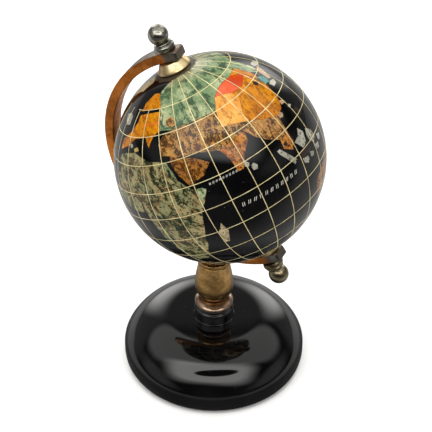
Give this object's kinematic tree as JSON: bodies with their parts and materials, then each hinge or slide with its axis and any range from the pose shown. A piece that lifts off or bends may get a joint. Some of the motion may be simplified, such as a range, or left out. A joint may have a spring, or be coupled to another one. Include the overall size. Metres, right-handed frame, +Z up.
{
  "type": "gemstone globe",
  "caption": "Table globe: a black stone ball with an inlaid stone map, turning in a leaning meridian arm on a turned brass column and a round glossy black base",
  "frame": {"origin": "the middle of the base's underside, which stands on Z = 0", "axes": "+Z up; the meridian arm lies in the XZ plane and the globe's north pole leans towards -X; +Y is away from the side shown as the front"},
  "size_m": [0.0875, 0.08, 0.1535],
  "materials": {
    "black_gloss": "polished black, like lacquer",
    "aged_brass": "satin, a little dulled",
    "copper_bronze": "satin copper brown, worn grey on its outer face",
    "pewter": "aged grey plating, half bright",
    "pale_brass": "brushed",
    "black_stone": "polished black stone",
    "honey_stone": "polished stone",
    "green_stone": "polished stone",
    "coral_stone": "polished stone",
    "peach_stone": "polished stone",
    "brown_stone": "polished stone",
    "rust_stone": "polished stone",
    "speckled_stone": "polished stone",
    "pale_stone": "polished stone",
    "teal_stone": "polished stone"
  },
  "bodies": {
    "stand": {"base": "black_gloss", "column": "aged_brass", "meridian_arm": "copper_bronze", "finial_north": "pewter", "finial_south": "pewter"},
    "globe": {"globe_ball": "black_stone", "cap_north": "pale_brass", "cap_south": "pale_brass", "stone_scandinavia": "honey_stone", "stone_europe": "honey_stone", "stone_russia": "green_stone", "stone_mongolia": "coral_stone", "stone_west_china": "peach_stone", "stone_china": "honey_stone", "stone_middle_east": "brown_stone", "stone_arabia": "rust_stone", "stone_india": "peach_stone", "stone_southeast_asia": "brown_stone", "stone_malaya": "peach_stone", "stone_africa": "speckled_stone", "stone_madagascar": "pale_stone", "stone_australia": "rust_stone", "stone_canada": "pale_stone", "stone_usa": "teal_stone", "stone_mexico": "honey_stone", "stone_greenland": "pale_stone", "stone_andes": "coral_stone", "stone_brazil": "green_stone", "stone_antarctica": "pale_stone"}
  },
  "joints": [
    {"name": "globe_spin", "type": "hinge", "parent": "stand", "child": "globe", "pos_m": [0.0023, 0, 0.1016], "axis": [-0.4679, 0, 0.8838], "continuous": true}
  ]
}
